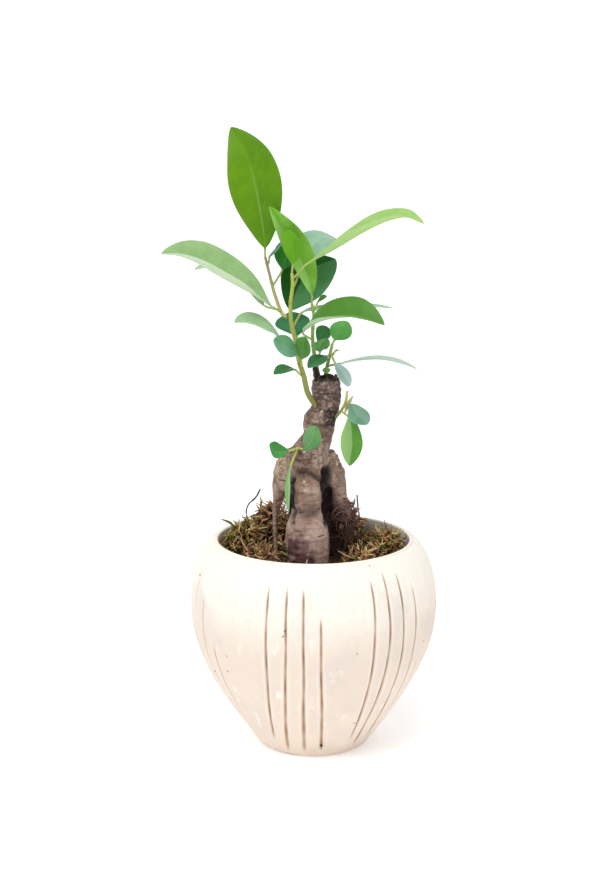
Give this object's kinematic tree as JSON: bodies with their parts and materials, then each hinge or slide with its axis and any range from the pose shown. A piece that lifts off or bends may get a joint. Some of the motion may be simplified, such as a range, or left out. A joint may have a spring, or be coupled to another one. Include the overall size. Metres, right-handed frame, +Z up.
{
  "type": "bonsai tree in a pot",
  "caption": "Small ginseng fig bonsai with swollen roots and leafy shoots, growing in moss and soil in a round belly-shaped clay pot with pressed grooves.",
  "frame": {"origin": "middle of the pot's foot, on the plane it stands on", "axes": "+Z up, the front faces -Y, +X to the right seen from the front"},
  "size_m": [0.1301, 0.12, 0.3002],
  "materials": {
    "clay": "matt, hand finished",
    "soil": "crumbly",
    "bark": "rough bark",
    "moss": "fibrous",
    "green_shoot": "young green wood",
    "dry_root": "dry",
    "leaf_green": "waxy",
    "leaf_light": "waxy",
    "leaf_pale": "waxy",
    "leaf_teal": "waxy",
    "leaf_dark": "waxy"
  },
  "bodies": {
    "root": {"dry_root_left": "dry_root", "dry_root_right": "dry_root", "leaf_back_broad": "leaf_dark", "leaf_back_right": "leaf_pale", "leaf_back_teal": "leaf_teal", "leaf_back_top": "leaf_pale", "leaf_bud": "leaf_green", "leaf_dark_behind": "leaf_dark", "leaf_front_curled": "leaf_light", "leaf_front_left": "leaf_teal", "leaf_front_olive": "leaf_green", "leaf_front_right": "leaf_green", "leaf_left_behind": "leaf_pale", "leaf_left_long": "leaf_pale", "leaf_left_pale": "leaf_pale", "leaf_low_centre": "leaf_teal", "leaf_low_hanging": "leaf_green", "leaf_low_left": "leaf_green", "leaf_low_out": "leaf_green", "leaf_low_up": "leaf_green", "leaf_mid_dark": "leaf_green", "leaf_mid_olive": "leaf_green", "leaf_narrow": "leaf_dark", "leaf_pale_hanging": "leaf_pale", "leaf_right_long": "leaf_light", "leaf_round": "leaf_green", "leaf_side_hanging": "leaf_green", "leaf_side_round": "leaf_teal", "leaf_stump": "leaf_green", "leaf_thin": "leaf_pale", "leaf_top": "leaf_light", "leaf_young": "leaf_light", "moss_back_left": "moss", "moss_back_right": "moss", "moss_front": "moss", "moss_front_left": "moss", "moss_front_right": "moss", "moss_left": "moss", "moss_right": "moss", "pot": "clay", "shoot_left": "green_shoot", "shoot_low": "green_shoot", "shoot_main": "green_shoot", "shoot_middle": "green_shoot", "shoot_right": "green_shoot", "shoot_side": "green_shoot", "soil": "soil", "trunk": "bark"}
  },
  "joints": []
}
